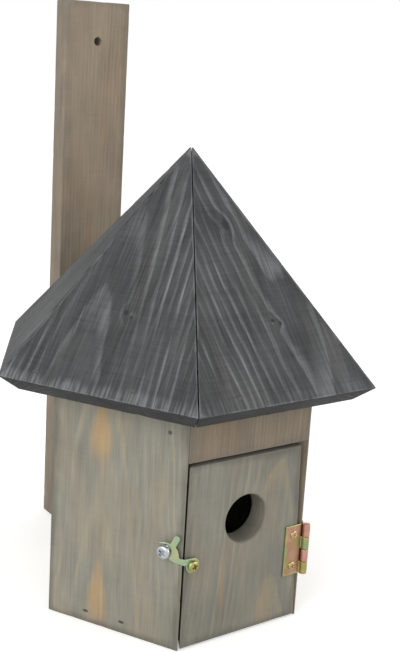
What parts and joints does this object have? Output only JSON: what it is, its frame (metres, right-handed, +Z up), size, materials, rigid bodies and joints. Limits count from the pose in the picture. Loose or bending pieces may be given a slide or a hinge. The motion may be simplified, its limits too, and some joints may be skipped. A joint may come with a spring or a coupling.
{
  "type": "hexagonal hanging nest box",
  "caption": "Hexagonal timber nest box with a pyramid roof, a round entrance in a hinged, hooked front, and a long back board to hang it by.",
  "frame": {"origin": "middle of the hexagonal box's underside, on the surface that the box stands on", "axes": "+Z up, -Y out of the door, +X to the right seen from the door"},
  "size_m": [0.3056, 0.294, 0.453],
  "materials": {
    "stained_timber": "grey-brown stained softwood, open grain",
    "roof_timber": "slate-grey stained softwood, worn pale at the eave edges",
    "yellow_zinc": "yellow passivated zinc with green and pink iridescence",
    "bright_zinc": "bright zinc plate"
  },
  "bodies": {
    "box": {"floor_panel": "stained_timber", "front_left_wall": "stained_timber", "front_right_wall": "stained_timber", "back_left_wall": "stained_timber", "back_right_wall": "stained_timber", "back_wall": "stained_timber", "lintel": "stained_timber", "roof_front": "roof_timber", "roof_front_left": "roof_timber", "roof_front_right": "roof_timber", "roof_back_left": "roof_timber", "roof_back_right": "roof_timber", "roof_back": "roof_timber", "back_board": "stained_timber", "upper_spacer": "stained_timber", "lower_spacer": "stained_timber", "wall_hinge_leaf": "yellow_zinc", "hinge_pin": "yellow_zinc", "wall_leaf_screws": "yellow_zinc", "latch_catch_screw": "bright_zinc"},
    "door": {"door": "stained_timber", "door_hinge_leaf": "yellow_zinc", "door_leaf_screws": "yellow_zinc", "latch_pivot_screw": "yellow_zinc"},
    "hook": {"latch_hook": "yellow_zinc"}
  },
  "joints": [
    {"name": "door_swing", "type": "hinge", "parent": "box", "child": "door", "pos_m": [0.05567, -0.09643, 0.056], "axis": [0, 0, 1], "range_deg": [0, 120]},
    {"name": "hook_lift", "type": "hinge", "parent": "door", "child": "hook", "pos_m": [-0.0475, -0.09633, 0.0665], "axis": [0, 1, 0], "range_deg": [0, 6]}
  ]
}
